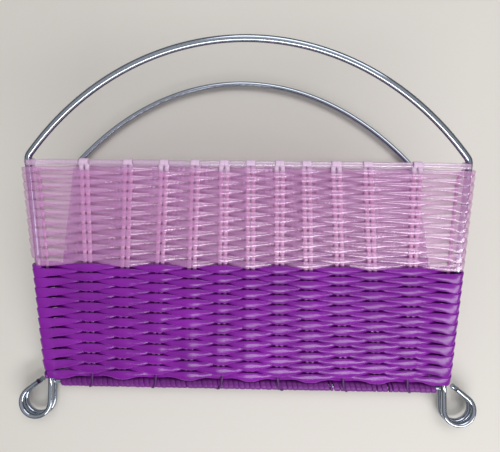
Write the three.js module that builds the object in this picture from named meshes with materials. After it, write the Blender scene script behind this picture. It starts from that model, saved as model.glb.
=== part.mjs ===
// Magazine basket: two bent wire frames that open like a V, woven with soft plastic cord.
// It lies on its back frame, arches towards +Y, front frame raised. Millimetres, +Z up.
import * as THREE from 'three';

// Bent wire frames
const wireDiameter = 5;
const archHeight = 299;
const archCurveHeight = 400;
const cornerHeight = 218;
const cornerHalfWidth = 167;
const railHalfWidth = 190;
const cornerBendRadius = 10;
const backFrameLean = 5.4;
const openingAngle = THREE.MathUtils.degToRad(22);
const foldLength = 8;
const legGap = 2;

// Curled feet at the ends of each frame's wire
const curlRadius = 14.2;
const curlDrop = 19.5;
const curlTailLength = 14;
const curlSweep = THREE.MathUtils.degToRad(232);

// Woven cord
const purpleRows = 22;
const pinkRows = 21;
const purpleHeight = 127.5;
const cordThickness = 2.4;
const rowGap = 0.45;
const headerCordWidth = 3.6;
const headerGap = 2.6;
const railSlit = 3.8;
const firstRowSide = 1;

// Paired upright cords, from left to right, as shares of the half width from the middle to a side
// wire: at the rail's level, where they stand farther apart, and at the header
const pairRailShares = [-0.787, -0.636, -0.464, -0.295, -0.129, 0.022, 0.17, 0.328, 0.498, 0.667, 0.818];
const pairTopShares = [-0.742, -0.54, -0.375, -0.233, -0.101, 0.018, 0.15, 0.271, 0.405, 0.547, 0.77];
const warpWidth = 1.9;
const warpThickness = 2;
const warpPairSpacing = 4.6;

// Cord wound round the bottom rail
const railWrapLoops = 24;
const railWrapThickness = 2.2;
const railWrapSeam = 0.6;
const bareRailLength = 5.5;

// Clearances between touching pieces
const contactGap = 0.35;
const weldGap = 0.3;

// Facet counts
const wireSides = 8;
const archSteps = 22;
const cornerSteps = 3;
const curlSteps = 13;
const foldSteps = 3;
const wrapSteps = 12;

const wireRadius = wireDiameter / 2;
const legSpacing = wireDiameter + legGap;
const fullTurn = 2 * Math.PI;
const quarterTurn = fullTurn / 4;

// The part lies on the cord that passes under the back frame's side wires
const sideLift = wireRadius + contactGap + cordThickness / 2;
const backPlaneHeight = sideLift + cordThickness / 2;
const middleOfLength = (archHeight - curlDrop - curlRadius) / 2;

const materials = {
  chrome: new THREE.MeshStandardMaterial({ color: 0xc9cdd2, roughness: 0.12, metalness: 1 }),
  pinkCord: new THREE.MeshStandardMaterial({ color: 0xd79ab8, roughness: 0.2, metalness: 0, transparent: true, opacity: 0.75 }),
  pinkWarp: new THREE.MeshStandardMaterial({ color: 0xd9789c, roughness: 0.2, metalness: 0 }),
  purpleCord: new THREE.MeshStandardMaterial({ color: 0x8c2a98, roughness: 0.25, metalness: 0 }),
};

const basket = new THREE.Group();
basket.position.set(0, -middleOfLength, backPlaneHeight);

function addPiece(name, geometry, material) {
  const mesh = new THREE.Mesh(geometry, material);
  mesh.name = name;
  basket.add(mesh);
}

// A point of a frame: across, along the frame from the rail's level, and out of its plane.
// The back frame was bent a little to the left.
function onBackFrame(across, along, out) {
  const lean = backFrameLean * Math.max(along, 0) / cornerHeight;
  return {
    at: new THREE.Vector3(across - lean, along, out),
    alongAxis: new THREE.Vector3(0, 1, 0),
    outAxis: new THREE.Vector3(0, 0, 1),
  };
}

// The front frame leaves the back one in a short bend at the rail's level
function onFrontFrame(across, along, out) {
  const bendRadius = foldLength / openingAngle;
  const bent = THREE.MathUtils.clamp(along + foldLength / 2, 0, foldLength);
  const angle = bent / bendRadius;
  const before = Math.min(along + foldLength / 2, 0);
  const after = Math.max(along - foldLength / 2, 0);
  const alongAxis = new THREE.Vector3(0, Math.cos(angle), Math.sin(angle));
  const outAxis = new THREE.Vector3(0, -Math.sin(angle), Math.cos(angle));
  const at = new THREE.Vector3(across, before - foldLength / 2, legSpacing);
  at.y += bendRadius * Math.sin(angle);
  at.z += bendRadius * (1 - Math.cos(angle));
  at.addScaledVector(alongAxis, after);
  at.addScaledVector(outAxis, out);
  return { at, alongAxis, outAxis };
}

// Sweeps a section along stations. Each station has a place and a fixed axis; the section's first
// number is measured along that axis and its second across it, mitred at every bend.
function sweep(stations, section) {
  const across = [];
  for (let k = 0; k < stations.length - 1; k += 1) {
    const direction = stations[k + 1].at.clone().sub(stations[k].at);
    across.push([
      new THREE.Vector3().crossVectors(stations[k].axis, direction).normalize(),
      new THREE.Vector3().crossVectors(stations[k + 1].axis, direction).normalize(),
    ]);
  }
  const positions = [];
  stations.forEach((station, k) => {
    const before = k > 0 ? across[k - 1][1] : across[k][0];
    const after = k < across.length ? across[k][0] : across[k - 1][1];
    const mitre = before.clone().add(after).divideScalar(1 + before.dot(after));
    for (const [alongAxis, acrossPath] of section) {
      const point = station.at.clone();
      point.addScaledVector(station.axis, alongAxis);
      point.addScaledVector(mitre, acrossPath);
      positions.push(point.x, point.y, point.z);
    }
  });
  const sides = section.length;
  const indices = [];
  for (let k = 0; k < stations.length - 1; k += 1) {
    for (let s = 0; s < sides; s += 1) {
      const a = k * sides + s;
      const b = k * sides + (s + 1) % sides;
      indices.push(a, b, b + sides, a, b + sides, a + sides);
    }
  }
  const lastRing = (stations.length - 1) * sides;
  for (let s = 1; s < sides - 1; s += 1) {
    indices.push(0, s + 1, s);
    indices.push(lastRing, lastRing + s, lastRing + s + 1);
  }
  const geometry = new THREE.BufferGeometry();
  geometry.setAttribute('position', new THREE.Float32BufferAttribute(positions, 3));
  geometry.setIndex(indices);
  geometry.computeVertexNormals();
  return geometry;
}

function flatSection(width, thickness) {
  const w = width / 2;
  const t = thickness / 2;
  return [[w, t], [w, -t], [-w, -t], [-w, t]];
}

function roundSection(radius, sides) {
  const section = [];
  for (let s = 0; s < sides; s += 1) {
    const angle = -fullTurn * (s + 0.5) / sides;
    section.push([radius * Math.cos(angle), radius * Math.sin(angle)]);
  }
  return section;
}

// Half the distance between a frame's side wires at a height along the frame
function halfWidthAt(along) {
  return railHalfWidth - (railHalfWidth - cornerHalfWidth) * Math.max(along, 0) / cornerHeight;
}

// The right half of a frame's wire, from the open end of its foot to the apex of the arch
function halfFrameOutline() {
  const outline = [];
  const curlX = railHalfWidth + curlRadius;
  const tailAngle = Math.PI + curlSweep;
  const tailX = curlX + curlRadius * Math.cos(tailAngle);
  const tailY = -curlDrop + curlRadius * Math.sin(tailAngle);
  outline.push([tailX - curlTailLength * Math.sin(tailAngle), tailY + curlTailLength * Math.cos(tailAngle)]);
  for (let k = 0; k <= curlSteps; k += 1) {
    const angle = tailAngle - curlSweep * k / curlSteps;
    outline.push([curlX + curlRadius * Math.cos(angle), -curlDrop + curlRadius * Math.sin(angle)]);
  }
  for (let k = 0; k <= foldSteps; k += 1) {
    const along = foldLength * (k / foldSteps - 0.5);
    outline.push([halfWidthAt(along), along]);
  }
  // The arch is part of an ellipse that stands higher than it is wide
  const corner = new THREE.Vector2(cornerHalfWidth, cornerHeight);
  const archCentreHeight = archHeight - archCurveHeight;
  const cornerAngle = Math.asin((cornerHeight - archCentreHeight) / archCurveHeight);
  const archCurveHalfWidth = cornerHalfWidth / Math.cos(cornerAngle);
  const archDirection = new THREE.Vector2(
    -archCurveHalfWidth * Math.sin(cornerAngle),
    archCurveHeight * Math.cos(cornerAngle),
  );
  const sideDirection = new THREE.Vector2(cornerHalfWidth - railHalfWidth, cornerHeight);
  const turn = archDirection.angle() - sideDirection.angle();
  const cornerCut = cornerBendRadius * Math.tan(turn / 2);
  const bendStart = corner.clone().addScaledVector(sideDirection.clone().normalize(), -cornerCut);
  const firstAngle = sideDirection.angle() - quarterTurn;
  for (let k = 0; k <= cornerSteps; k += 1) {
    const angle = firstAngle + turn * k / cornerSteps;
    outline.push([
      bendStart.x + cornerBendRadius * (Math.cos(angle) - Math.cos(firstAngle)),
      bendStart.y + cornerBendRadius * (Math.sin(angle) - Math.sin(firstAngle)),
    ]);
  }
  const archStart = cornerAngle + cornerCut / archDirection.length();
  const halfArchSteps = archSteps / 2;
  for (let k = 1; k <= halfArchSteps; k += 1) {
    const angle = archStart + (quarterTurn - archStart) * k / halfArchSteps;
    outline.push([
      archCurveHalfWidth * Math.cos(angle),
      archCentreHeight + archCurveHeight * Math.sin(angle),
    ]);
  }
  return { outline, straightSideLength: sideDirection.length() - cornerCut };
}

const { outline: rightHalf, straightSideLength } = halfFrameOutline();

function frameGeometry(onFrame) {
  const leftHalf = rightHalf.slice(0, -1).reverse().map(([across, along]) => [-across, along]);
  const stations = [...rightHalf, ...leftHalf].map(([across, along]) => {
    const { at, outAxis } = onFrame(across, along, 0);
    return { at, axis: outAxis };
  });
  return sweep(stations, roundSection(wireRadius, wireSides));
}

// Bottom rail, welded at its ends between the legs of the two frames
const railHalfLength = railHalfWidth - wireRadius - weldGap;
const railGeometry = new THREE.CylinderGeometry(wireRadius, wireRadius, 2 * railHalfLength, wrapSteps);
railGeometry.rotateZ(quarterTurn);
railGeometry.translate(0, 0, legSpacing / 2);

// One flattened cord wound round the rail from end to end
const wrapFlatRadius = wireRadius + contactGap + railWrapThickness / 2;
const wrapRadius = wrapFlatRadius / Math.cos(Math.PI / wrapSteps);
const wrapOuterRadius = (wrapFlatRadius + railWrapThickness / 2) / Math.cos(Math.PI / wrapSteps);

function railWrapGeometry() {
  const wrapLength = 2 * railHalfLength - bareRailLength - weldGap;
  const pitch = wrapLength / (railWrapLoops + 1);
  const bandWidth = pitch - railWrapSeam;
  const start = -railHalfLength + bareRailLength + bandWidth / 2;
  const axis = new THREE.Vector3(1, 0, 0);
  const stations = [];
  for (let k = 0; k <= railWrapLoops * wrapSteps; k += 1) {
    const angle = fullTurn * k / wrapSteps;
    const at = new THREE.Vector3(
      start + pitch * k / wrapSteps,
      wrapRadius * Math.cos(angle),
      legSpacing / 2 + wrapRadius * Math.sin(angle),
    );
    stations.push({ at, axis });
  }
  return sweep(stations, flatSection(bandWidth, railWrapThickness));
}

// Heights along the frame where the weave starts, changes colour and ends
const weaveFoot = wrapOuterRadius + railSlit;
const headerAlong = straightSideLength - headerCordWidth / 2;
const weaveTop = headerAlong - headerCordWidth / 2 - headerGap;

// Each upright pair runs straight from the rail to the header
const pairCount = pairTopShares.length;
const pairHalfWidth = (warpPairSpacing + warpWidth) / 2;

function pairAcross(pair, along) {
  return THREE.MathUtils.lerp(
    pairRailShares[pair] * railHalfWidth,
    pairTopShares[pair] * halfWidthAt(headerAlong),
    along / headerAlong,
  );
}

// The cord bows far enough out at an upright pair to clear both of its cords
const topBays = pairTopShares.slice(1).map((share, k) => share - pairTopShares[k]);
const narrowestBay = Math.min(...topBays) * cornerHalfWidth;
const warpContactLift = (warpThickness + cordThickness) / 2 + contactGap;
const warpLift = warpContactLift / (1 - 2 * pairHalfWidth / narrowestBay);

// Half a turn of cord round a side wire has its corners at these angles from the outer side
const turnCorners = 5;
const turnStep = fullTurn / 6;
const turnRadius = sideLift / Math.cos(turnStep / 2);

// One cord woven back and forth. It passes each upright on the side opposite to the row before,
// and goes round the side wire from one row to the next.
function weftGeometry(onFrame, foot, top, rows, firstSide) {
  const pitch = (top - foot) / rows;
  const stations = [];
  const addStation = (across, along, out) => {
    const { at, alongAxis } = onFrame(across, along, out);
    stations.push({ at, axis: alongAxis });
  };
  for (let row = 0; row < rows; row += 1) {
    const along = foot + pitch * (row + 0.5);
    const heading = row % 2 === 0 ? 1 : -1;
    const rowSide = row % 2 === 0 ? firstSide : -firstSide;
    if (row === 0) {
      addStation(-heading * (halfWidthAt(along) + turnRadius / 2), along, rowSide * sideLift);
      addStation(-heading * (halfWidthAt(along) - turnRadius / 2), along, rowSide * sideLift);
    }
    for (let k = 0; k < pairCount; k += 1) {
      const pair = heading > 0 ? k : pairCount - 1 - k;
      const side = k % 2 === 0 ? -rowSide : rowSide;
      addStation(pairAcross(pair, along), along, side * warpLift);
    }
    if (row === rows - 1) {
      addStation(heading * (halfWidthAt(along) - turnRadius / 2), along, rowSide * sideLift);
      addStation(heading * (halfWidthAt(along) + turnRadius / 2), along, rowSide * sideLift);
    } else {
      for (let k = 0; k < turnCorners; k += 1) {
        const angle = turnStep * (k - (turnCorners - 1) / 2);
        const climb = THREE.MathUtils.clamp(k - 1, 0, turnCorners - 3) / (turnCorners - 3);
        const turnAlong = along + pitch * climb;
        const across = halfWidthAt(turnAlong) + turnRadius * Math.cos(angle);
        addStation(heading * across, turnAlong, -rowSide * turnRadius * Math.sin(angle));
      }
    }
  }
  return sweep(stations, flatSection(pitch - rowGap, cordThickness));
}

// The header cord runs straight from corner to corner and hooks round both side wires
function headerGeometry(onFrame) {
  const half = [];
  const wireAcross = halfWidthAt(headerAlong);
  for (let k = 0; k < turnCorners; k += 1) {
    const angle = turnStep * (k - (turnCorners - 1) / 2);
    half.push([wireAcross + turnRadius * Math.cos(angle), turnRadius * Math.sin(angle)]);
  }
  half.push([Math.max(...pairTopShares) * wireAcross + 2 * pairHalfWidth, 0]);
  const otherHalf = half.slice().reverse().map(([across, out]) => [-across, out]);
  const stations = [...half, ...otherHalf].map(([across, out]) => {
    const { at, alongAxis } = onFrame(across, headerAlong, out);
    return { at, axis: alongAxis };
  });
  return sweep(stations, flatSection(headerCordWidth, cordThickness));
}

// Each upright is one cord folded over the header, its two runs side by side down to the rail
const warpFoot = Math.sqrt((wrapOuterRadius + contactGap + warpThickness / 2) ** 2 - (legSpacing / 2) ** 2);

function warpGeometry(onFrame, pair) {
  const headerHalf = headerCordWidth / 2;
  const hookOut = (cordThickness + warpThickness) / 2 + contactGap;
  const hookTop = headerAlong + headerHalf + contactGap + warpThickness / 2;
  const bendStart = weaveTop + contactGap;
  const hookStart = headerAlong - headerHalf - contactGap;
  const spread = warpPairSpacing / 2;
  const axis = new THREE.Vector3(1, 0, 0);
  const route = [
    [-spread, warpFoot, 0],
    [-spread, bendStart, 0],
    [-spread, hookStart, hookOut],
    [-spread * 3 / 4, hookTop, hookOut],
    [spread * 3 / 4, hookTop, -hookOut],
    [spread, hookStart, -hookOut],
    [spread, bendStart, 0],
    [spread, warpFoot, 0],
  ];
  const stations = route.map(([offset, along, out]) => {
    const across = pairAcross(pair, along) + offset;
    return { at: onFrame(across, along, out).at, axis };
  });
  return sweep(stations, flatSection(warpWidth, warpThickness));
}

const frames = { back: onBackFrame, front: onFrontFrame };
for (const [frameName, onFrame] of Object.entries(frames)) {
  addPiece(`${frameName}_frame`, frameGeometry(onFrame), materials.chrome);
  addPiece(
    `${frameName}_lower_weft`,
    weftGeometry(onFrame, weaveFoot, purpleHeight, purpleRows, firstRowSide),
    materials.purpleCord,
  );
  const pinkFirstSide = purpleRows % 2 === 0 ? firstRowSide : -firstRowSide;
  addPiece(
    `${frameName}_upper_weft`,
    weftGeometry(onFrame, purpleHeight, weaveTop, pinkRows, pinkFirstSide),
    materials.pinkCord,
  );
  addPiece(`${frameName}_header_cord`, headerGeometry(onFrame), materials.pinkCord);
  for (let pair = 0; pair < pairCount; pair += 1) {
    addPiece(`${frameName}_warp_${pair + 1}`, warpGeometry(onFrame, pair), materials.pinkWarp);
  }
}
addPiece('bottom_rail', railGeometry, materials.chrome);
addPiece('rail_wrap', railWrapGeometry(), materials.purpleCord);

export default basket;
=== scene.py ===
import math

import bpy
from mathutils import Matrix, Vector, noise


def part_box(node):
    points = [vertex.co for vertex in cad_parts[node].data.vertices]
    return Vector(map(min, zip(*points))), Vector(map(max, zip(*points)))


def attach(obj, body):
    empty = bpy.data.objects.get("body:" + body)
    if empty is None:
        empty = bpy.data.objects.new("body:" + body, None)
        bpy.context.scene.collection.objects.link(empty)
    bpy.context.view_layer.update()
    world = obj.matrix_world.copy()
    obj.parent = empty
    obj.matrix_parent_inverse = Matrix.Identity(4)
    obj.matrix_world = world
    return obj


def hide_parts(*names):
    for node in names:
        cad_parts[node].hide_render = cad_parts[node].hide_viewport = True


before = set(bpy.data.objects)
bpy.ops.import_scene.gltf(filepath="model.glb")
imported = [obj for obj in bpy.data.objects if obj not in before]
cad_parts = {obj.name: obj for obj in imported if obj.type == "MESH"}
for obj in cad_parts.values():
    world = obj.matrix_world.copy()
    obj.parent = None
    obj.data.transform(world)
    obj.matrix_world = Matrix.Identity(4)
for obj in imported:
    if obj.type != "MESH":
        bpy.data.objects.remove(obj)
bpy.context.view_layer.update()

bpy.context.scene.view_settings.view_transform = "Standard"
bpy.ops.object.select_all(action="DESELECT")


# Camera. It looks down on the basket from 36 cm, as the photograph does. Its place, its small tilts
# and its focal length, in pixels of the photograph, come from a fit of the frames to the photograph.
CAMERA_PLACE = (0.00705, 0.00919, 0.35641)
CAMERA_TILTS = (("X", 2.04), ("Y", 0.83), ("Z", 0.73))
FOCAL_PIXELS = 350
PICTURE_WIDTH = 500
SENSOR_WIDTH = 36

bpy.ops.object.camera_add()
camera = bpy.context.object
camera.name = "camera_from_above"
camera.data.sensor_width = SENSOR_WIDTH
camera.data.lens = SENSOR_WIDTH * FOCAL_PIXELS / PICTURE_WIDTH
camera.data.clip_start = 0.01
camera_place = Matrix.Translation(CAMERA_PLACE)
for axis, degrees in CAMERA_TILTS:
    camera_place @= Matrix.Rotation(math.radians(degrees), 4, axis)
camera.matrix_world = camera_place
bpy.context.scene.camera = camera


# Floor. A plain board with pale matt paint under the basket. It has no pattern of its own, so that
# the pink cord, which light passes through, shows in its own colour.
FLOOR_SIZE = 6


def linear_colour(hex_code):
    """Turns an sRGB hex colour into the linear values that a shader takes."""
    channels = []
    for start in (0, 2, 4):
        share = int(hex_code[start:start + 2], 16) / 255
        channels.append(share / 12.92 if share <= 0.04045 else ((share + 0.055) / 1.055) ** 2.4)
    return (*channels, 1)


def add_node(tree, kind, settings=None, links=None):
    """Adds a node. Settings name its properties and sockets, and links bring other nodes' outputs."""
    node = tree.nodes.new(kind)
    for key, value in (settings or {}).items():
        if isinstance(key, str) and hasattr(node, key):
            setattr(node, key, value)
        else:
            node.inputs[key].default_value = value
    for key, socket in (links or {}).items():
        tree.links.new(socket, node.inputs[key])
    return node


def new_material(name, base, roughness):
    """Starts a material with its plain colour and roughness, for its nodes to be added."""
    material = bpy.data.materials.new(name)
    material.use_nodes = True
    shader = material.node_tree.nodes["Principled BSDF"]
    shader.inputs["Base Color"].default_value = linear_colour(base)
    shader.inputs["Roughness"].default_value = roughness
    return material, material.node_tree, shader


bpy.ops.mesh.primitive_plane_add(size=FLOOR_SIZE, location=(0, 0, 0))
floor = bpy.context.object
floor.name = "floor"
floor_paint, _, floor_shader = new_material("matt_floor_paint", "dcd8d2", 0.7)
floor_shader.inputs["Specular IOR Level"].default_value = 0.2
floor.data.materials.append(floor_paint)


# Light. A soft grey room that is dark low down, a long window on the near side, which draws the glints
# along the glossy cords, and a wide soft lamp that evens out the floor. A lamp is given by its place,
# width and depth in metres and its radiance, and points at the basket.
world = bpy.data.worlds.new("soft_grey_room")
bpy.context.scene.world = world
world.use_nodes = True
world_tree = world.node_tree
world_way = add_node(world_tree, "ShaderNodeTexCoord").outputs["Generated"]
world_height = add_node(world_tree, "ShaderNodeSeparateXYZ", links={"Vector": world_way})
world_level = add_node(
    world_tree, "ShaderNodeMapRange",
    {"From Min": 0.2, "From Max": 0.9, "To Min": 0.06, "To Max": 0.64},
    {"Value": world_height.outputs["Z"]},
)
room_light = world_tree.nodes["Background"]
room_light.inputs["Color"].default_value = (1, 1, 1, 1)
world_tree.links.new(world_level.outputs["Result"], room_light.inputs["Strength"])

for lamp_name, lamp_place, lamp_width, lamp_depth, radiance in (
    ("window_lamp", (0.44, -1.12, 0.76), 1.5, 0.36, 8.3),
    ("wide_soft_lamp", (0.26, 0.60, 0.98), 1.0, 0.6, 2.4),
):
    bpy.ops.object.light_add(type="AREA", location=lamp_place)
    lamp = bpy.context.object
    lamp.name = lamp_name
    lamp.data.shape = "RECTANGLE"
    lamp.data.size = lamp_width
    lamp.data.size_y = lamp_depth
    lamp.data.energy = math.pi * lamp_width * lamp_depth * radiance
    lamp.rotation_euler = (-Vector(lamp_place)).to_track_quat("-Z", "Y").to_euler()


# The two bent frames. Each is one length of 5 mm chromed steel wire, bent cold into an arched handle,
# two sloping sides and two curled feet. The front one opens 22 degrees from the back one. Sizes are
# in millimetres: across the frame, along it from the rail, and out of its plane.
WIRE_RADIUS = 2.5
ARCH_HEIGHT = 299
ARCH_CURVE_HEIGHT = 400
CORNER_HEIGHT = 218
CORNER_HALF_WIDTH = 167
RAIL_HALF_WIDTH = 190
CORNER_BEND_RADIUS = 10
BACK_LEAN = 5.4
OPENING_ANGLE = math.radians(22)
FOLD_LENGTH = 8
CURL_RADIUS = 14.2
CURL_DROP = 19.5
CURL_TAIL = 14
CURL_SWEEP = math.radians(232)
TAIL_STEPS = 5
CURL_STEPS = 48
LEG_STEPS = 5
BEND_STEPS = 8
SIDE_STEPS = 24
ARCH_STEPS = 48
SAWN_EDGE = 0.7

rail_low, rail_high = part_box("bottom_rail")
RAIL_Y = (rail_low.y + rail_high.y) / 2 * 1000
RAIL_Z = (rail_low.z + rail_high.z) / 2 * 1000
back_low, back_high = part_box("back_frame")
BACK_Z = (back_low.z + back_high.z) / 2 * 1000
LEG_SPACING = 2 * (RAIL_Z - BACK_Z)


def half_width_at(along):
    """Half the width between the side wires, this far up from the rail."""
    return RAIL_HALF_WIDTH - (RAIL_HALF_WIDTH - CORNER_HALF_WIDTH) * max(along, 0) / CORNER_HEIGHT


def on_back_frame(across, along, out):
    """A place on the back frame, which lies flat, with its directions along and out."""
    lean = BACK_LEAN * max(along, 0) / CORNER_HEIGHT
    place = Vector((across - lean, RAIL_Y + along, BACK_Z + out))
    return place, Vector((0, 1, 0)), Vector((0, 0, 1))


def on_front_frame(across, along, out):
    """A place on the front frame, which is bent up at the rail, with its directions along and out."""
    radius = FOLD_LENGTH / OPENING_ANGLE
    bent = min(max(along + FOLD_LENGTH / 2, 0), FOLD_LENGTH)
    angle = bent / radius
    before = min(along + FOLD_LENGTH / 2, 0)
    after = max(along - FOLD_LENGTH / 2, 0)
    along_axis = Vector((0, math.cos(angle), math.sin(angle)))
    out_axis = Vector((0, -math.sin(angle), math.cos(angle)))
    place = Vector((across, RAIL_Y + before - FOLD_LENGTH / 2, BACK_Z + LEG_SPACING))
    place += Vector((0, radius * math.sin(angle), radius * (1 - math.cos(angle))))
    return place + along_axis * after + out_axis * out, along_axis, out_axis


ON_FRAME = {"back": on_back_frame, "front": on_front_frame}


def right_half_of_wire():
    """The wire's middle line (across, along) from the cut end of its right curl to the top of the
    arch, and the length of its straight side."""
    route = []
    curl_x = RAIL_HALF_WIDTH + CURL_RADIUS
    tail_angle = math.pi + CURL_SWEEP
    tail_x = curl_x + CURL_RADIUS * math.cos(tail_angle)
    tail_y = -CURL_DROP + CURL_RADIUS * math.sin(tail_angle)
    for step in range(TAIL_STEPS):
        left = CURL_TAIL * (1 - step / TAIL_STEPS)
        route.append((tail_x - left * math.sin(tail_angle), tail_y + left * math.cos(tail_angle)))
    for step in range(CURL_STEPS + 1):
        angle = tail_angle - CURL_SWEEP * step / CURL_STEPS
        route.append((curl_x + CURL_RADIUS * math.cos(angle), -CURL_DROP + CURL_RADIUS * math.sin(angle)))
    for step in range(1, LEG_STEPS):
        along = -CURL_DROP + (CURL_DROP - FOLD_LENGTH / 2) * step / LEG_STEPS
        route.append((RAIL_HALF_WIDTH, along))
    for step in range(BEND_STEPS + 1):
        along = FOLD_LENGTH * (step / BEND_STEPS - 0.5)
        route.append((half_width_at(along), along))
    centre = ARCH_HEIGHT - ARCH_CURVE_HEIGHT
    corner_angle = math.asin((CORNER_HEIGHT - centre) / ARCH_CURVE_HEIGHT)
    curve_half_width = CORNER_HALF_WIDTH / math.cos(corner_angle)
    arch_run = Vector((
        -curve_half_width * math.sin(corner_angle),
        ARCH_CURVE_HEIGHT * math.cos(corner_angle),
    ))
    side_run = Vector((CORNER_HALF_WIDTH - RAIL_HALF_WIDTH, CORNER_HEIGHT))
    side_angle = math.atan2(side_run.y, side_run.x)
    turn = math.atan2(arch_run.y, arch_run.x) - side_angle
    cut = CORNER_BEND_RADIUS * math.tan(turn / 2)
    bend = Vector((CORNER_HALF_WIDTH, CORNER_HEIGHT)) - side_run.normalized() * cut
    for step in range(1, SIDE_STEPS):
        along = FOLD_LENGTH / 2 + (bend.y - FOLD_LENGTH / 2) * step / SIDE_STEPS
        route.append((half_width_at(along), along))
    first = side_angle - math.pi / 2
    for step in range(BEND_STEPS + 1):
        angle = first + turn * step / BEND_STEPS
        route.append((
            bend.x + CORNER_BEND_RADIUS * (math.cos(angle) - math.cos(first)),
            bend.y + CORNER_BEND_RADIUS * (math.sin(angle) - math.sin(first)),
        ))
    start = corner_angle + cut / arch_run.length
    for step in range(1, ARCH_STEPS + 1):
        angle = start + (math.pi / 2 - start) * step / ARCH_STEPS
        route.append((curve_half_width * math.cos(angle), centre + ARCH_CURVE_HEIGHT * math.sin(angle)))
    return route, side_run.length - cut


def wire_along(name, points):
    """A length of the wire with its middle line through the points and its sawn edges rounded off."""
    bpy.ops.curve.primitive_nurbs_path_add()
    wire = bpy.context.object
    wire.name = name
    wire.data.splines.clear()
    spline = wire.data.splines.new("POLY")
    spline.points.add(len(points) - 1)
    for spot, point in zip(spline.points, points):
        spot.co = (*(point / 1000), 1)
    wire.data.twist_mode = "MINIMUM"
    wire.data.bevel_depth = WIRE_RADIUS / 1000
    wire.data.bevel_resolution = 7
    wire.data.use_fill_caps = True
    bpy.ops.object.convert(target="MESH")
    wire = bpy.context.object
    bpy.ops.object.mode_set(mode="EDIT")
    bpy.ops.mesh.select_mode(type="FACE")
    bpy.ops.mesh.select_all(action="SELECT")
    bpy.ops.mesh.remove_doubles(threshold=0.00001)
    bpy.ops.mesh.normals_make_consistent(inside=False)
    bpy.ops.mesh.select_all(action="DESELECT")
    bpy.ops.mesh.select_face_by_sides(number=4, type="GREATER")
    bpy.ops.mesh.bevel(offset=SAWN_EDGE / 1000, segments=3, affect="EDGES")
    bpy.ops.object.mode_set(mode="OBJECT")
    bpy.ops.object.shade_smooth_by_angle(angle=math.radians(40))
    return wire


def grain(size):
    """The scale at which a noise on Object coordinates draws spots of this many millimetres."""
    return 1000 / size


# The sockets of a Mix node for colours, which have no names of their own.
MIX_SHARE = 0
MIX_FROM = 6
MIX_TO = 7
MIXED = 2

# Bright chrome plating over drawn wire. It mirrors the room sharply, with faint unevenness and a few
# duller patches, about 22 mm wide, where it was handled. Its pits are drawn at 1.1 mm, coarser than
# real ones, so that they show.
chrome, tree, shader = new_material("bright_chrome_plating", "c9cdd2", 0.08)
shader.inputs["Metallic"].default_value = 1
place = add_node(tree, "ShaderNodeTexCoord").outputs["Object"]
handled = add_node(tree, "ShaderNodeTexNoise", {"Scale": grain(22), "Detail": 3}, {"Vector": place})
dulled = add_node(
    tree, "ShaderNodeMapRange", {"From Min": 0.35, "From Max": 0.75, "To Min": 0.05, "To Max": 0.16},
    {"Value": handled.outputs["Fac"]},
)
tree.links.new(dulled.outputs["Result"], shader.inputs["Roughness"])
pits = add_node(tree, "ShaderNodeTexNoise", {"Scale": grain(1.1), "Detail": 2}, {"Vector": place})
pitted = add_node(
    tree, "ShaderNodeMapRange", {"From Min": 0.62, "From Max": 0.75}, {"Value": pits.outputs["Fac"]},
)
tint = add_node(
    tree, "ShaderNodeMix",
    {"data_type": "RGBA", MIX_FROM: linear_colour("a3abb8"), MIX_TO: linear_colour("6e7482")},
    {MIX_SHARE: pitted.outputs["Result"]},
)
tree.links.new(tint.outputs[MIXED], shader.inputs["Base Color"])
unevenness = add_node(
    tree, "ShaderNodeBump", {"Strength": 0.08, "Distance": 0.0001}, {"Height": handled.outputs["Fac"]},
)
tree.links.new(unevenness.outputs["Normal"], shader.inputs["Normal"])

# Plain grey steel at the sawn ends of the wire, which were never plated. It is dull, with fine saw
# marks of 0.4 mm.
cut_steel, tree, shader = new_material("sawn_steel_wire_end", "4e4b4a", 0.45)
shader.inputs["Metallic"].default_value = 1
place = add_node(tree, "ShaderNodeTexCoord").outputs["Object"]
saw_marks = add_node(tree, "ShaderNodeTexNoise", {"Scale": grain(0.4), "Detail": 2}, {"Vector": place})
saw_bump = add_node(
    tree, "ShaderNodeBump", {"Strength": 0.3, "Distance": 0.0001}, {"Height": saw_marks.outputs["Fac"]},
)
tree.links.new(saw_bump.outputs["Normal"], shader.inputs["Normal"])

right_half, straight_side_length = right_half_of_wire()
left_half = [(-across, along) for across, along in reversed(right_half[:-1])]
for side, on_frame in ON_FRAME.items():
    points = [on_frame(across, along, 0)[0] for across, along in right_half + left_half]
    wire = wire_along(f"{side}_wire", points)
    wire.data.materials.append(chrome)
    wire.data.materials.append(cut_steel)
    for face in wire.data.polygons:
        is_sawn_end = len(face.vertices) > 4
        if is_sawn_end:
            face.material_index = 1
    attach(wire, "root")
    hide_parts(f"{side}_frame")


# The bottom rail. A straight piece of the same wire between the two pairs of legs, spot-welded at
# its ends, where the metal has run into small beads.
RAIL_STEPS = 12
WELD_ACROSS = 187.4
WELD_LEVEL = 1.8
BEAD_RADIUS = 1.5
BEAD_STRETCH = 1.5
BEAD_ROUGHNESS = 0.12

points = []
for step in range(RAIL_STEPS + 1):
    x = rail_low.x + (rail_high.x - rail_low.x) * step / RAIL_STEPS
    points.append(Vector((x * 1000, RAIL_Y, RAIL_Z)))
rail = wire_along("rail_wire", points)
rail.data.materials.append(chrome)
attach(rail, "root")
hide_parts("bottom_rail")

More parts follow.
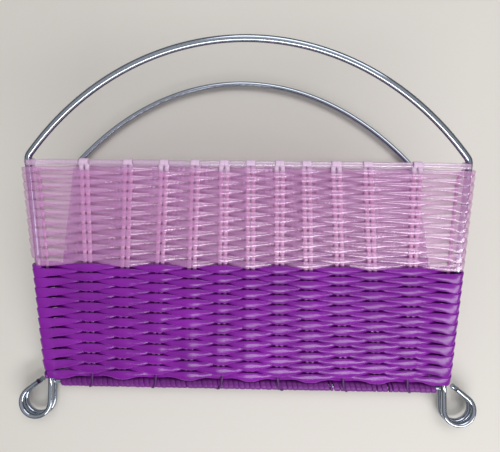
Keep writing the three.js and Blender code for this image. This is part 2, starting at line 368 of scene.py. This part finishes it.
for weld_name, end in (("weld_left", -1), ("weld_right", 1)):
    beads = []
    for level in (-WELD_LEVEL, WELD_LEVEL):
        bpy.ops.mesh.primitive_uv_sphere_add(
            segments=16, ring_count=10, radius=BEAD_RADIUS / 1000,
            location=(end * WELD_ACROSS / 1000, RAIL_Y / 1000, (RAIL_Z + level) / 1000),
        )
        bead = bpy.context.object
        bpy.ops.object.mode_set(mode="EDIT")
        bpy.ops.transform.resize(value=(1.0, BEAD_STRETCH, 1.0))
        bpy.ops.transform.vertex_random(offset=BEAD_ROUGHNESS / 1000, seed=3)
        bpy.ops.object.mode_set(mode="OBJECT")
        beads.append(bead)
    bpy.ops.object.select_all(action="DESELECT")
    for bead in beads:
        bead.select_set(True)
    bpy.context.view_layer.objects.active = beads[0]
    bpy.ops.object.join()
    weld = bpy.context.object
    weld.name = weld_name
    bpy.ops.object.transform_apply(location=True, rotation=True, scale=True)
    bpy.ops.object.shade_smooth_by_angle(angle=math.radians(60))
    weld.data.materials.append(chrome)
    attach(weld, "root")


# Cord wound round the rail. One length of the purple cord, pulled flat and wound turn by turn from
# left to right, so that only a little bare wire shows at the left end and where turns have parted.
WINDING_TURNS = 71
WINDING_START = -181.7
WINDING_END = 186.3
WINDING_STEPS = 16
WINDING_HALF = (2.75, 1.3)
WINDING_FLATNESS = 0.6
WINDING_CLEARANCE = 0.05
WINDING_GAPS = (82, 126, 139)
WINDING_GAP_REACH = 4
WINDING_GAP_NARROWING = 1.5
CAP_ANGLES = (0.5, 0.95, 1.3)
ACROSS = Vector((1, 0, 0))


def across_path(route, width_axes, turned=True):
    """Turns a route in millimetres into rings: centre, direction, width axis and thickness axis.
    The width axis is turned square to the route, or kept where a band climbs round a wire."""
    rings = []
    for spot, centre in enumerate(route):
        before = route[max(spot - 1, 0)]
        after = route[min(spot + 1, len(route) - 1)]
        direction = (after - before).normalized()
        width_axis = width_axes[spot]
        if turned:
            width_axis = (width_axis - direction * width_axis.dot(direction)).normalized()
        rings.append((centre, direction, width_axis, direction.cross(width_axis).normalized()))
    return rings


def cord_mesh(name, rings, halves, sides, flatness=1.0):
    """Skins the rings as one closed cord with rounded ends. Halves gives each ring's half width, half
    thickness and, where it has one, its own flatness. A flatness under 1 squares the section, as on
    cord that was pulled flat. The map called run gives millimetres along and a share of the girth."""
    run = 0
    full = []
    for spot, (centre, direction, width_axis, thickness_axis) in enumerate(rings):
        if spot:
            run += (centre - rings[spot - 1][0]).length
        half_width, half_thickness, *own_flatness = halves[spot]
        full.append((
            centre, width_axis, thickness_axis, half_width, half_thickness, run,
            own_flatness[0] if own_flatness else flatness,
        ))
    for end in (0, -1):
        centre, direction = rings[end][:2]
        half_width, half_thickness = halves[end][:2]
        outwards = -direction if end == 0 else direction
        for angle in CAP_ANGLES:
            cap = (
                centre + outwards * half_thickness * math.sin(angle), *rings[end][2:],
                half_width * math.cos(angle), half_thickness * math.cos(angle), *full[end][5:],
            )
            if end == 0:
                full.insert(0, cap)
            else:
                full.append(cap)
    points = []
    marks = []
    for centre, width_axis, thickness_axis, half_width, half_thickness, run, flat in full:
        for side in range(sides):
            angle = 2 * math.pi * side / sides
            wide_share = math.copysign(abs(math.cos(angle)) ** flat, math.cos(angle))
            thick_share = math.copysign(abs(math.sin(angle)) ** flat, math.sin(angle))
            point = centre + width_axis * half_width * wide_share
            point += thickness_axis * half_thickness * thick_share
            points.append(point / 1000)
            marks.append((run, side / sides))
    faces = []
    for ring in range(len(full) - 1):
        for side in range(sides):
            start = ring * sides
            later = (side + 1) % sides
            faces.append((start + side, start + later, start + sides + later, start + sides + side))
    faces.append(tuple(range(sides - 1, -1, -1)))
    last = (len(full) - 1) * sides
    faces.append(tuple(range(last, last + sides)))
    mesh = bpy.data.meshes.new(name)
    mesh.from_pydata(points, [], faces)
    run_map = mesh.uv_layers.new(name="run")
    for face in mesh.polygons:
        wraps = len(face.vertices) == 4 and face.vertices[0] % sides == sides - 1
        for corner in face.loop_indices:
            along, round_share = marks[mesh.loops[corner].vertex_index]
            if wraps and round_share == 0:
                round_share = 1
            run_map.data[corner].uv = (along, round_share)
    mesh.shade_smooth()
    cord = bpy.data.objects.new(name, mesh)
    bpy.context.scene.collection.objects.link(cord)
    return cord


def wander(seed, place, reach):
    """A small smooth hand-made unevenness, the same on each run. Each seed is another line through
    the noise, and the two numbers only keep the lines away from the points where it is zero."""
    return reach * noise.noise(Vector((place, seed * 7.31, 0.37)))


def smooth_share(share):
    """Eases a share in and out between 0 and 1."""
    share = min(max(share, 0), 1)
    return share * share * (3 - 2 * share)


# Soft PVC cord, extruded, coloured through with purple. It is glossy, slightly paler in patches of
# 36 mm where it was stretched, and duller where dust lies on it. Its dust, at 2.5 mm, and its ten
# extrusion lines round the section, 1.3 mm apart, are drawn coarser than real ones, so that they show.
# A wave texture draws ten bands at a scale of pi.
EXTRUSION_LINES = 10
EXTRUSION_SCALE = EXTRUSION_LINES * math.pi / 10

purple_pvc, tree, shader = new_material("purple_soft_pvc_cord", "8e269a", 0.32)
shader.inputs["IOR"].default_value = 1.54
shader.inputs["Specular IOR Level"].default_value = 0.28
place = add_node(tree, "ShaderNodeTexCoord").outputs["Object"]
run_map = add_node(tree, "ShaderNodeUVMap", {"uv_map": "run"}).outputs["UV"]
shade = add_node(tree, "ShaderNodeTexNoise", {"Scale": grain(36), "Detail": 3}, {"Vector": place})
colour = add_node(
    tree, "ShaderNodeMix",
    {"data_type": "RGBA", MIX_FROM: linear_colour("64137a"), MIX_TO: linear_colour("9222ae")},
    {MIX_SHARE: shade.outputs["Fac"]},
)
tree.links.new(colour.outputs[MIXED], shader.inputs["Base Color"])
dust = add_node(tree, "ShaderNodeTexNoise", {"Scale": grain(2.5), "Detail": 3}, {"Vector": place})
gloss = add_node(
    tree, "ShaderNodeMapRange", {"From Min": 0.3, "From Max": 0.7, "To Min": 0.15, "To Max": 0.26},
    {"Value": dust.outputs["Fac"]},
)
tree.links.new(gloss.outputs["Result"], shader.inputs["Roughness"])
extrusion = add_node(
    tree, "ShaderNodeTexWave", {"bands_direction": "Y", "Scale": EXTRUSION_SCALE, "Distortion": 0},
    {"Vector": run_map},
)
extrusion_bump = add_node(
    tree, "ShaderNodeBump", {"Strength": 0.25, "Distance": 0.0001}, {"Height": extrusion.outputs["Fac"]},
)
tree.links.new(extrusion_bump.outputs["Normal"], shader.inputs["Normal"])

# The same cord where it is wound tight round the rail: stretched and rubbed dull, with painted shade that
# makes it a little darker.
shaded_winding_pvc = purple_pvc.copy()
shaded_winding_pvc.name = "rubbed_purple_pvc_cord_painted_shade"
tree = shaded_winding_pvc.node_tree
tree.nodes["Principled BSDF"].inputs["Specular IOR Level"].default_value = 0.3
for node in tree.nodes:
    # Darker purples: painted shade round the rail.
    if node.type == "MIX":
        node.inputs[MIX_FROM].default_value = linear_colour("561468")
        node.inputs[MIX_TO].default_value = linear_colour("7e2290")
    if node.type == "MAP_RANGE":
        node.inputs["To Min"].default_value = 0.38
        node.inputs["To Max"].default_value = 0.6

winding_pitch = (WINDING_END - WINDING_START) / (WINDING_TURNS + 1)
winding_radius = WIRE_RADIUS + WINDING_HALF[1]
route = []
halves = []
for step in range(WINDING_TURNS * WINDING_STEPS + 1):
    turned = step / WINDING_STEPS
    angle = 2 * math.pi * turned
    radius = winding_radius + wander(1, turned * 3, 0.25) + WINDING_CLEARANCE
    across = WINDING_START + winding_pitch * (0.5 + turned) + wander(2, turned, 0.8)
    route.append(Vector((across, RAIL_Y + radius * math.cos(angle), RAIL_Z + radius * math.sin(angle))))
    parted = max(1 - abs(across - gap) / WINDING_GAP_REACH for gap in WINDING_GAPS)
    narrowed = WINDING_GAP_NARROWING * smooth_share(parted)
    halves.append((WINDING_HALF[0] + wander(3, turned * 2, 0.5) - narrowed, WINDING_HALF[1]))
rings = across_path(route, [ACROSS] * len(route))
winding = cord_mesh("rail_winding", rings, halves, sides=14, flatness=WINDING_FLATNESS)
winding.data.materials.append(shaded_winding_pvc)
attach(winding, "root")
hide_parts("rail_wrap")


# The purple lower part of each panel. One long cord of soft PVC is woven back and forth through the
# paired uprights. It is turned back round the side wires, where it spreads into a band two rows wide.
# Both its ends go almost once round the left side wire.
PURPLE_ROWS = 22
WEAVE_FOOT = 7.6
COLOUR_CHANGE = 127.5
TOP_CORD_ROOM = 3.6
TOP_CORD_GAP = 1.6
TOP_CORD_ALONG = straight_side_length - TOP_CORD_ROOM / 2
WEAVE_TOP = straight_side_length - TOP_CORD_ROOM - TOP_CORD_GAP

# The uprights' places, as shares of half the width at the rail and at the top cord, their half width
# and half thickness, and how far from their middle the woven cord keeps clear of them.
RAIL_SHARES = (-0.787, -0.636, -0.464, -0.295, -0.129, 0.022, 0.17, 0.328, 0.498, 0.667, 0.818)
TOP_SHARES = (-0.742, -0.54, -0.375, -0.233, -0.101, 0.018, 0.15, 0.271, 0.405, 0.547, 0.77)
UPRIGHT_HALF = (1.7, 1.0)
UPRIGHT_REACH = 3.5

# The turns round a side wire: their distance from its middle, section and angle between rings, how
# the rows spread into the band beside it, and where and how narrow the cord's two ends are, as shares
# of a row.
TURN_LIFT = 3.8
TURN_HALF_THICKNESS = 1.15
TURN_FLATNESS = 0.4
TURN_STEP = 15
BAND_SHARE = 1.02
BAND_REACH = 3
FAN_LENGTH = 7
CORD_END_PLACE = 0.3
CORD_END_HALF = 0.4

# The runs between the uprights: half width at a crossing as a share of the row, how far out the rows
# pass clear of each other, the limits of thickness and reach, and the share of a run that is straight.
# Near the side wire the runs swell less.
CROSSING_SHARE = 0.52
CROSSING_REACH = 1.5
CROSSING_LEAST = 0.0001
THICKEST = 1.9
OUTERMOST = 5.1
STRAIGHT_SHARE = 0.9
BAY_STEPS = 12
OUTER_BAY_STEPS = 18
BAY_FLATNESS = 1.05
EDGE_SHARE = 1 / 8
EDGE_SWELL = 0.8

# The hand-made unevenness of a row: its reach along, as a share of the width and out of the panel,
# its pace per millimetre, and the seeds that keep the three apart.
LEVEL_WANDER = 0.3
WIDTH_WANDER = 0.05
OUT_WANDER = 0.1
WANDER_PACE = 0.03
OUT_WANDER_PACE = 0.02
WIDTH_SEED = 50
OUT_SEED = 90


def upright_across(number, along):
    """How far an upright is from the middle. The uprights run straight and spread towards the rail."""
    low = RAIL_SHARES[number] * half_width_at(0)
    high = TOP_SHARES[number] * half_width_at(TOP_CORD_ALONG)
    return low + (high - low) * along / TOP_CORD_ALONG


def side_turn(angles, alongs, half_widths, end, row_side):
    """Points of a turn round the left (-1) or right (1) side wire, eased from one angle in degrees,
    level and half width to another."""
    points = []
    steps = max(round(abs(angles[1] - angles[0]) / TURN_STEP), 2)
    for step in range(steps + 1):
        share = step / steps
        eased = smooth_share(share)
        angle = math.radians(angles[0] + (angles[1] - angles[0]) * share)
        along = alongs[0] + (alongs[1] - alongs[0]) * eased
        half_width = half_widths[0] + (half_widths[1] - half_widths[0]) * eased
        across = end * (half_width_at(along) + TURN_LIFT * math.sin(angle))
        out = row_side * TURN_LIFT * math.cos(angle)
        points.append((across, along, out, half_width, TURN_HALF_THICKNESS, TURN_FLATNESS))
    return points


def woven_route(foot, top, rows, cord_radius, crown_share, tighten, end_turn, seed):
    """Points (across, along, out, half width, half thickness, flatness) of one cord woven from foot to
    top. Crown share is the half width over an upright as a share of the row, tighten makes the rows
    narrower upwards, and end turn is how far the cord's two ends go round the wire, in degrees."""
    edges = []
    for row in range(rows + 1):
        share = row / rows
        edges.append(foot + (top - foot) * (share + tighten * share * (1 - share)))
    levels = [(low + high) / 2 for low, high in zip(edges, edges[1:])]
    band_edges = [foot, *levels, top]
    area = cord_radius ** 2
    route = []

    def band_at(row):
        """The middle and the half width of the band into which a row and its neighbour spread."""
        low, high = band_edges[row], band_edges[row + 2]
        return (low + high) / 2, (high - low) / 2 * BAND_SHARE

    for row, level in enumerate(levels):
        pitch = edges[row + 1] - edges[row]
        heading = 1 if row % 2 == 0 else -1
        row_side = heading
        half_width = half_width_at(level)
        uprights = [heading * upright_across(number, level) for number in range(len(TOP_SHARES))]
        stops = [-half_width, *sorted(uprights), half_width]
        lift = UPRIGHT_HALF[1] + area / (crown_share * pitch)
        outs = [row_side * TURN_LIFT]
        for number in range(len(TOP_SHARES)):
            outs.append((-row_side if number % 2 == 0 else row_side) * lift)
        outs.append(row_side * TURN_LIFT)
        band_level, band_half = band_at(row)
        cord_end_half = CORD_END_HALF * pitch
        if row == 0:
            cord_end = foot + CORD_END_PLACE * pitch
            route += side_turn(
                (-end_turn, 0), (cord_end, band_level), (cord_end_half, band_half), -heading, row_side,
            )
        for bay, (bay_start, bay_end) in enumerate(zip(stops, stops[1:])):
            bay_length = bay_end - bay_start
            out_middle = (outs[bay] + outs[bay + 1]) / 2
            out_reach = (outs[bay] - outs[bay + 1]) / 2
            steps = OUTER_BAY_STEPS if bay in (0, len(stops) - 2) else BAY_STEPS
            for step in range(1 if bay == 0 else 0, steps):
                share = step / steps
                crossed = (share * bay_length - UPRIGHT_REACH) / (bay_length - 2 * UPRIGHT_REACH)
                crossed = min(max(crossed, 0), 1)
                eased = STRAIGHT_SHARE * crossed + (1 - STRAIGHT_SHARE) * smooth_share(crossed)
                out = out_middle + out_reach * (1 - 2 * eased)
                across = bay_start + bay_length * share
                from_wire = min(across + half_width, half_width - across)
                fan = 1 - smooth_share((from_wire - BAND_REACH) / FAN_LENGTH)
                swell = min(abs(out) / lift, 1)
                if from_wire < half_width * EDGE_SHARE:
                    swell *= EDGE_SWELL
                wide = pitch * (CROSSING_SHARE + (crown_share - CROSSING_SHARE) * swell)
                beside = max(1 - (out / CROSSING_REACH) ** 2, CROSSING_LEAST)
                wide = min(wide, CROSSING_SHARE * pitch / math.sqrt(beside))
                wide += (band_half - wide) * fan
                thick = min(area / wide, THICKEST, OUTERMOST - abs(out))
                thick += (TURN_HALF_THICKNESS - thick) * fan
                flatness = BAY_FLATNESS + (TURN_FLATNESS - BAY_FLATNESS) * fan
                along = level + (band_level - level) * fan
                along += wander(seed + row, across * WANDER_PACE, LEVEL_WANDER)
                wide *= 1 + wander(seed + row + WIDTH_SEED, across * WANDER_PACE, WIDTH_WANDER)
                out += wander(seed + row + OUT_SEED, across * OUT_WANDER_PACE, OUT_WANDER) * (1 - fan)
                route.append((heading * across, along, out, wide, thick, flatness))
        if row < rows - 1:
            next_level, next_half = band_at(row + 1)
            route += side_turn(
                (0, 180), (band_level, next_level), (band_half, next_half), heading, row_side,
            )
        else:
            cord_end = top - CORD_END_PLACE * pitch
            route += side_turn(
                (0, end_turn), (band_level, cord_end), (band_half, cord_end_half), heading, row_side,
            )
    return route


def woven_cord(name, side, points):
    """The cord through these points of a panel. Its width stays on the frame's own direction, so that
    the bands round a side wire stay level with each other."""
    centres = []
    width_axes = []
    halves = []
    for across, along, out, *section in points:
        centre, along_axis, _ = ON_FRAME[side](across, along, out)
        centres.append(centre)
        width_axes.append(along_axis)
        halves.append(section)
    cord = cord_mesh(name, across_path(centres, width_axes, turned=False), halves, sides=16)
    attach(cord, "root")
    return cord


for side, seed in (("back", 10), ("front", 300)):
    points = woven_route(
        WEAVE_FOOT, COLOUR_CHANGE, PURPLE_ROWS, cord_radius=2.1, crown_share=0.87, tighten=0.19,
        end_turn=340, seed=seed,
    )
    cord = woven_cord(f"{side}_purple_cord", side, points)
    cord.data.materials.append(purple_pvc)
    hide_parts(f"{side}_lower_weft")


# The pink upper part of each panel. It is woven in the same way, with a thinner cord of clear pink
# PVC. Its lower end is bent half round the left side wire, and its upper end round the right one.
PINK_ROWS = 21

# Clear soft PVC, tinted pink. Light passes through it, so the panel behind and the uprights show in
# it. Alpha thins its shine too, so the index of refraction is set higher than PVC's 1.53. Its shade
# changes in patches of 33 mm. Its dust, at 2.8 mm, is drawn coarser than real dust.
pink_pvc, tree, shader = new_material("clear_pink_soft_pvc_cord", "d488c2", 0.1)
shader.inputs["IOR"].default_value = 1.9
shader.inputs["Alpha"].default_value = 0.36
shader.inputs["Specular IOR Level"].default_value = 1.0
place = add_node(tree, "ShaderNodeTexCoord").outputs["Object"]
run_map = add_node(tree, "ShaderNodeUVMap", {"uv_map": "run"}).outputs["UV"]
shade = add_node(tree, "ShaderNodeTexNoise", {"Scale": grain(33), "Detail": 3}, {"Vector": place})
colour = add_node(
    tree, "ShaderNodeMix",
    {"data_type": "RGBA", MIX_FROM: linear_colour("cb84c5"), MIX_TO: linear_colour("e0a0dc")},
    {MIX_SHARE: shade.outputs["Fac"]},
)
tree.links.new(colour.outputs[MIXED], shader.inputs["Base Color"])
dust = add_node(tree, "ShaderNodeTexNoise", {"Scale": grain(2.8), "Detail": 3}, {"Vector": place})
gloss = add_node(
    tree, "ShaderNodeMapRange", {"From Min": 0.3, "From Max": 0.7, "To Min": 0.12, "To Max": 0.2},
    {"Value": dust.outputs["Fac"]},
)
tree.links.new(gloss.outputs["Result"], shader.inputs["Roughness"])
extrusion = add_node(
    tree, "ShaderNodeTexWave", {"bands_direction": "Y", "Scale": EXTRUSION_SCALE, "Distortion": 0},
    {"Vector": run_map},
)
extrusion_bump = add_node(
    tree, "ShaderNodeBump", {"Strength": 0.06, "Distance": 0.0001}, {"Height": extrusion.outputs["Fac"]},
)
tree.links.new(extrusion_bump.outputs["Normal"], shader.inputs["Normal"])

for side, seed in (("back", 620), ("front", 910)):
    points = woven_route(
        COLOUR_CHANGE, WEAVE_TOP, PINK_ROWS, cord_radius=1.9, crown_share=0.74, tighten=0.22,
        end_turn=170, seed=seed,
    )
    cord = woven_cord(f"{side}_pink_cord", side, points)
    cord.data.materials.append(pink_pvc)
    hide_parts(f"{side}_upper_weft")


# The top cord of each panel. A nearly colourless length of the same PVC runs straight from corner
# to corner, is hooked round both side wires, and carries the folds of the uprights, which pinch it.
TOP_CORD_HALF = (2.2, 1.3)
TOP_CORD_STEPS = 120
WIRE_ACROSS = half_width_at(TOP_CORD_ALONG)
HOOK_SWEEP = 190
HOOK_STEPS = 15
HOOK_LEAD = 20
HOOK_LEAD_STEPS = 9
PINCH = 0.25
PINCH_REACH = 7

# Clear soft PVC with only a breath of pink. As on the pink cord, the index of refraction is set high
# to make up for the shine that Alpha takes. It clouds in patches of 16.5 mm.
clear_pvc, tree, shader = new_material("nearly_clear_soft_pvc_cord", "d6b2d8", 0.1)
shader.inputs["IOR"].default_value = 1.9
shader.inputs["Alpha"].default_value = 0.42
shader.inputs["Specular IOR Level"].default_value = 1.0
place = add_node(tree, "ShaderNodeTexCoord").outputs["Object"]
cloud = add_node(tree, "ShaderNodeTexNoise", {"Scale": grain(16.5), "Detail": 3}, {"Vector": place})
gloss = add_node(
    tree, "ShaderNodeMapRange", {"From Min": 0.3, "From Max": 0.7, "To Min": 0.1, "To Max": 0.18},
    {"Value": cloud.outputs["Fac"]},
)
tree.links.new(gloss.outputs["Result"], shader.inputs["Roughness"])


def top_cord_hook(end):
    """Points of the hook round the left (-1) or right (1) side wire, from its tip inwards."""
    hook = []
    for step in range(HOOK_STEPS + 1):
        angle = math.radians(HOOK_SWEEP * (step / HOOK_STEPS - 1))
        across = end * (WIRE_ACROSS + TURN_LIFT * math.sin(angle))
        along = TOP_CORD_ALONG + wander(5, step * 0.2, 0.2)
        hook.append((across, along, TURN_LIFT * math.cos(angle), *TOP_CORD_HALF))
    for step in range(1, HOOK_LEAD_STEPS + 1):
        share = step / HOOK_LEAD_STEPS
        across = end * (WIRE_ACROSS - HOOK_LEAD * share)
        out = TURN_LIFT * (1 + math.cos(math.pi * share)) / 2
        hook.append((across, TOP_CORD_ALONG, out, *TOP_CORD_HALF))
    return hook


points = top_cord_hook(-1)
for step in range(1, TOP_CORD_STEPS):
    across = (-1 + 2 * step / TOP_CORD_STEPS) * (WIRE_ACROSS - HOOK_LEAD)
    closest = min(abs(across - share * WIRE_ACROSS) for share in TOP_SHARES)
    pinch = PINCH * (1 - smooth_share(closest / PINCH_REACH))
    along = TOP_CORD_ALONG - pinch + wander(7, across * 0.03, 0.4)
    out = wander(8, across * 0.03, 0.3)
    points.append((across, along, out, TOP_CORD_HALF[0] - pinch, TOP_CORD_HALF[1]))
points += reversed(top_cord_hook(1))

for side in ON_FRAME:
    cord = woven_cord(f"{side}_top_cord", side, points)
    cord.data.materials.append(clear_pvc)
    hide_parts(f"{side}_header_cord")


# The uprights. Each is one thin cord of rose PVC, bent back in a small U above the rail's winding. Its
# two runs go side by side up through the weave, fold flat over the top cord and are tucked in
# behind it.
PAIR_SPREAD = 2.3
FOLD_SPREAD = 1.5
FOLD_HALF = (1.8, 0.4, 0.5)
FOLD_OUT = TOP_CORD_HALF[1] + FOLD_HALF[1]
FOLD_RISE = TOP_CORD_HALF[0] + FOLD_HALF[1]
FOLD_FOOT = WEAVE_TOP + 0.5
FLAT_ABOVE = WEAVE_TOP + 0.7
FOLD_SIDE_STEPS = 6
FOLD_TOP_STEPS = 14
RUN_STEPS = 60
RAIL_TURN_ALONG = 15.5
RAIL_TURN_STEPS = 8
LEAST_LEVEL = 0.7

# Soft PVC cord coloured through with rose, only half glossy. It changes with its height, given by
# Object Y in metres: paler where it folds over the top cord, painted purple light where the purple
# cord throws its colour on it, and painted shade at the rail. Its tone changes in patches of 25 mm.
# Its dust, at 2.8 mm, is drawn coarser than real dust.
upright_pvc, tree, shader = new_material("rose_soft_pvc_cord", "e2a6d2", 0.22)
shader.inputs["IOR"].default_value = 1.53
place = add_node(tree, "ShaderNodeTexCoord").outputs["Object"]
shade = add_node(tree, "ShaderNodeTexNoise", {"Scale": grain(25), "Detail": 3}, {"Vector": place})
height = add_node(tree, "ShaderNodeSeparateXYZ", links={"Vector": place}).outputs["Y"]
colour = add_node(
    tree, "ShaderNodeMix",
    {"data_type": "RGBA", MIX_FROM: linear_colour("cc8ebe"), MIX_TO: linear_colour("e0acd4")},
    {MIX_SHARE: shade.outputs["Fac"]},
)
# Height bands: the paler fold, painted purple light, and painted shade at the rail.
for change_from, change_to, changed_colour in (
    (0.0588, 0.0602, "d8bcd8"),
    (-0.005, -0.022, "8a4698"),
    (-0.114, -0.119, "4a1658"),
):
    change = add_node(
        tree, "ShaderNodeMapRange", {"From Min": change_from, "From Max": change_to}, {"Value": height},
    )
    colour = add_node(
        tree, "ShaderNodeMix", {"data_type": "RGBA", MIX_TO: linear_colour(changed_colour)},
        {MIX_SHARE: change.outputs["Result"], MIX_FROM: colour.outputs[MIXED]},
    )
tree.links.new(colour.outputs[MIXED], shader.inputs["Base Color"])
dust = add_node(tree, "ShaderNodeTexNoise", {"Scale": grain(2.8), "Detail": 3}, {"Vector": place})
gloss = add_node(
    tree, "ShaderNodeMapRange", {"From Min": 0.3, "From Max": 0.7, "To Min": 0.15, "To Max": 0.3},
    {"Value": dust.outputs["Fac"]},
)
tree.links.new(gloss.outputs["Result"], shader.inputs["Roughness"])


def upright_route(number):
    """Points (offset, along, out) of one upright, from its tucked left end to its tucked right end."""
    run = []
    fold_height = TOP_CORD_ALONG - FOLD_FOOT
    for step in range(FOLD_SIDE_STEPS + 1):
        run.append((FOLD_SPREAD, FOLD_FOOT + fold_height * step / FOLD_SIDE_STEPS, -FOLD_OUT))
    for step in range(1, FOLD_TOP_STEPS):
        angle = math.pi * step / FOLD_TOP_STEPS
        run.append((FOLD_SPREAD, TOP_CORD_ALONG + FOLD_RISE * math.sin(angle), -FOLD_OUT * math.cos(angle)))
    for step in range(FOLD_SIDE_STEPS + 1):
        share = step / FOLD_SIDE_STEPS
        eased = smooth_share(share)
        offset = FOLD_SPREAD + (PAIR_SPREAD - FOLD_SPREAD) * eased
        run.append((offset, TOP_CORD_ALONG - fold_height * share, FOLD_OUT * (1 - eased)))
    for step in range(1, RUN_STEPS):
        along = FOLD_FOOT + (RAIL_TURN_ALONG - FOLD_FOOT) * step / RUN_STEPS
        run.append((PAIR_SPREAD + wander(number * 5 + 3, along * 0.03, 0.3), along, 0))
    turn = []
    for step in range(RAIL_TURN_STEPS + 1):
        angle = math.pi * step / RAIL_TURN_STEPS
        turn.append((-PAIR_SPREAD * math.cos(angle), RAIL_TURN_ALONG - PAIR_SPREAD * math.sin(angle), 0))
    return [(-offset, along, out) for offset, along, out in run] + turn + run[::-1]


def level_axes(centres):
    """A width axis for each point, level across the frame. Where the route itself runs across, the
    last axis is carried on, and no axis flips over."""
    axes = []
    for spot in range(len(centres)):
        before = centres[max(spot - 1, 0)]
        after = centres[min(spot + 1, len(centres) - 1)]
        direction = (after - before).normalized()
        axis = ACROSS - direction * ACROSS.dot(direction)
        if axis.length < LEAST_LEVEL:
            axis = axes[-1] - direction * axes[-1].dot(direction)
        if axes and axis.dot(axes[-1]) < 0:
            axis.negate()
        axes.append(axis.normalized())
    return axes


for side, on_frame in ON_FRAME.items():
    for number in range(len(TOP_SHARES)):
        centres = []
        halves = []
        for offset, along, out in upright_route(number):
            centres.append(on_frame(upright_across(number, along) + offset, along, out)[0])
            halves.append(FOLD_HALF if along > FLAT_ABOVE else UPRIGHT_HALF)
        rings = across_path(centres, level_axes(centres))
        upright = cord_mesh(f"{side}_upright_{number + 1}", rings, halves, sides=12, flatness=0.8)
        upright.data.materials.append(upright_pvc)
        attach(upright, "root")
        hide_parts(f"{side}_warp_{number + 1}")


# Edge strands. Beside each side wire one more strand of the rose cord starts at the corner and
# runs down inside the side turns, which hold it, and shows through the clear pink.
STRAND_HALF = (1.35, 0.8)
STRAND_TOP = TOP_CORD_ALONG - 3
STRAND_FOOT = COLOUR_CHANGE - 5
STRAND_STEPS = 40
STRAND_START = 3.9
STRAND_SHIFT = 3.4
STRAND_SHIFT_STEPS = 4

for side, on_frame in ON_FRAME.items():
    for strand_name, end in (("left", -1), ("right", 1)):
        centres = []
        for step in range(STRAND_STEPS + 1):
            along = STRAND_TOP + (STRAND_FOOT - STRAND_TOP) * step / STRAND_STEPS
            from_wire = STRAND_START + STRAND_SHIFT * smooth_share(step / STRAND_SHIFT_STEPS)
            from_wire += wander(end + 4, along * 0.05, 0.5)
            centres.append(on_frame(end * (half_width_at(along) - from_wire), along, 0)[0])
        rings = across_path(centres, [ACROSS] * len(centres))
        halves = [STRAND_HALF] * len(centres)
        strand = cord_mesh(f"{side}_edge_strand_{strand_name}", rings, halves, sides=10)
        strand.data.materials.append(upright_pvc)
        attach(strand, "root")


# Lashings. At every second upright the lowest row lies behind, and a thin strand of PVC ties the
# pair down over the winding and round under the rail. The strands lean away from the middle.
LASHING_HALF = (1.1, 0.6)
LASHING_PRESS = 0.3
LASHING_STEPS = 6
LASHING_TOP = 15.5
LASHING_FOOT = 7.1
LASHING_SIDEWAYS = (-3.4, -1.3, 7.7)
LASHING_OUT = 0.3
LASHING_RISE = 1.4
LASHING_RISE_STEPS = 5
LASHING_WRAP_START = 75
LASHING_WRAP_SWEEP = 190
LASHING_WRAP_STEPS = 24
LASHING_SMOOTHINGS = 3

# A strand of purple PVC, rubbed dull and painted darker as shade. Its tone changes in patches of 16.5 mm.
shaded_lashing_pvc, tree, shader = new_material("purple_pvc_strand_painted_shade", "4a1658", 0.5)
shader.inputs["IOR"].default_value = 1.54
shader.inputs["Specular IOR Level"].default_value = 0.3
place = add_node(tree, "ShaderNodeTexCoord").outputs["Object"]
shade = add_node(tree, "ShaderNodeTexNoise", {"Scale": grain(16.5), "Detail": 3}, {"Vector": place})
# Darker purples than the winding's: painted shade.
colour = add_node(
    tree, "ShaderNodeMix",
    {"data_type": "RGBA", MIX_FROM: linear_colour("3f1050"), MIX_TO: linear_colour("5a1c6c")},
    {MIX_SHARE: shade.outputs["Fac"]},
)
tree.links.new(colour.outputs[MIXED], shader.inputs["Base Color"])

lashing_radius = winding_radius + WINDING_HALF[1] + LASHING_HALF[1] - LASHING_PRESS
start_sideways, rail_sideways, end_sideways = LASHING_SIDEWAYS
for number in range(0, len(TOP_SHARES), 2):
    lean = -1 if number < len(TOP_SHARES) // 2 else 1
    foot_across = upright_across(number, 0)
    route = []
    for step in range(LASHING_STEPS + 1):
        share = step / LASHING_STEPS
        across = foot_across + lean * (start_sideways + (rail_sideways - start_sideways) * share)
        along = LASHING_TOP + (LASHING_FOOT - LASHING_TOP) * share
        out = LASHING_OUT + LASHING_RISE * smooth_share(step / LASHING_RISE_STEPS)
        route.append(on_front_frame(across, along, out)[0])
    for step in range(LASHING_WRAP_STEPS + 1):
        share = step / LASHING_WRAP_STEPS
        angle = math.radians(LASHING_WRAP_START + LASHING_WRAP_SWEEP * share)
        route.append(Vector((
            foot_across + lean * (rail_sideways + (end_sideways - rail_sideways) * share),
            RAIL_Y + lashing_radius * math.cos(angle),
            RAIL_Z + lashing_radius * math.sin(angle),
        )))
    for _ in range(LASHING_SMOOTHINGS):
        middle = []
        for before, here, after in zip(route, route[1:], route[2:]):
            middle.append((before + 2 * here + after) / 4)
        route = [route[0], *middle, route[-1]]
    rings = across_path(route, [ACROSS] * len(route))
    lashing = cord_mesh(f"lashing_{number + 1}", rings, [LASHING_HALF] * len(route), sides=10)
    lashing.data.materials.append(shaded_lashing_pvc)
    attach(lashing, "root")
